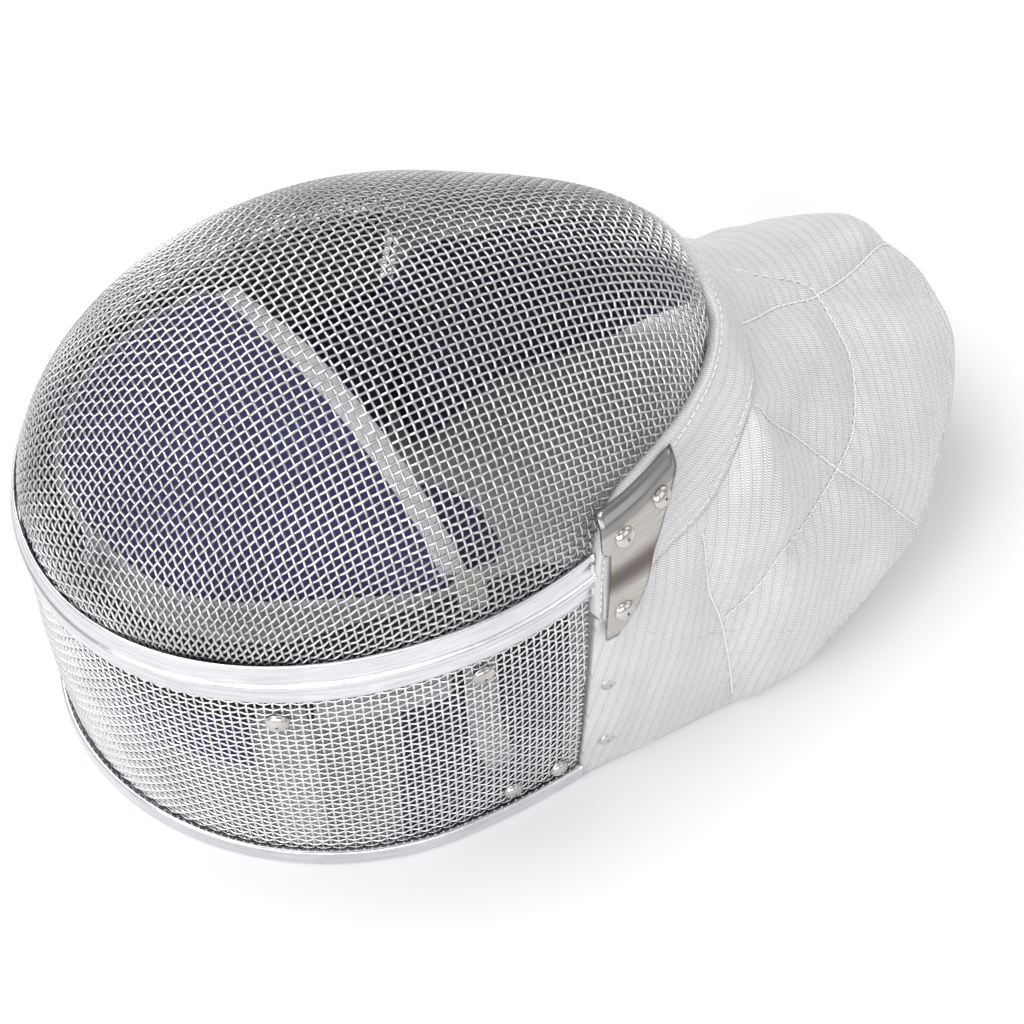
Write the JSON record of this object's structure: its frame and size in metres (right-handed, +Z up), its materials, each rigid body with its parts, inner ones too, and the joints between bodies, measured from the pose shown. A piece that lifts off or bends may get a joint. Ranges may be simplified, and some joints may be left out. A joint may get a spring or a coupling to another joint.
{
  "type": "fencing mask",
  "caption": "Sabre fencing mask on its back: woven wire face dome and side mesh, chromed band and rear hoop, quilted silvery bib, inner pads",
  "frame": {"origin": "on the floor that the mask lies on, under the middle of its bounding box", "axes": "+Z up, out through the face mesh; -X towards the crown and +X towards the tip of the bib; +Y towards the wearer's far side in the picture"},
  "size_m": [0.3606, 0.2032, 0.2102],
  "materials": {
    "chrome_steel": "polished chrome plating",
    "tinned_wire": "bright tinned steel wire",
    "nickel_sheet": "satin nickel plating",
    "lame_cloth": "quilted conductive cloth with a metallic thread",
    "blue_cloth": "dyed padded cloth",
    "navy_cloth": "dyed padded cloth",
    "black_cloth": "dyed lining cloth",
    "grey_tape": "woven tape"
  },
  "bodies": {
    "root": {"rear_hoop": "chrome_steel", "dividing_band": "chrome_steel", "side_mesh": "tinned_wire", "front_mesh": "tinned_wire", "bib": "lame_cloth", "bib_border": "lame_cloth", "bib_lining": "navy_cloth", "side_pad_near": "navy_cloth", "side_pad_far": "navy_cloth", "pad_lappet": "navy_cloth", "black_lining_strip": "black_cloth", "crown_wall_pad": "blue_cloth", "crown_pad": "blue_cloth", "crown_pad_piping": "grey_tape", "crown_pad_binding": "grey_tape", "rivet_tab_near": "grey_tape", "side_plate_near": "nickel_sheet", "plate_rivet_near_1": "nickel_sheet", "plate_rivet_near_2": "nickel_sheet", "plate_rivet_near_3": "nickel_sheet", "cloth_rivet_near_1": "nickel_sheet", "cloth_rivet_near_2": "nickel_sheet", "mesh_rivet_near_1": "nickel_sheet", "mesh_rivet_near_2": "nickel_sheet", "mesh_rivet_near_3": "nickel_sheet", "mesh_rivet_near_4": "nickel_sheet", "strap_tape_near_1": "grey_tape", "strap_tape_near_2": "grey_tape", "strap_tape_near_3": "grey_tape", "side_plate_far": "nickel_sheet", "plate_rivet_far_1": "nickel_sheet", "plate_rivet_far_2": "nickel_sheet", "plate_rivet_far_3": "nickel_sheet", "cloth_rivet_far_1": "nickel_sheet", "cloth_rivet_far_2": "nickel_sheet", "mesh_rivet_far_1": "nickel_sheet", "mesh_rivet_far_2": "nickel_sheet", "mesh_rivet_far_3": "nickel_sheet", "mesh_rivet_far_4": "nickel_sheet", "strap_tape_far_1": "grey_tape", "strap_tape_far_2": "grey_tape", "strap_tape_far_3": "grey_tape"}
  },
  "joints": []
}
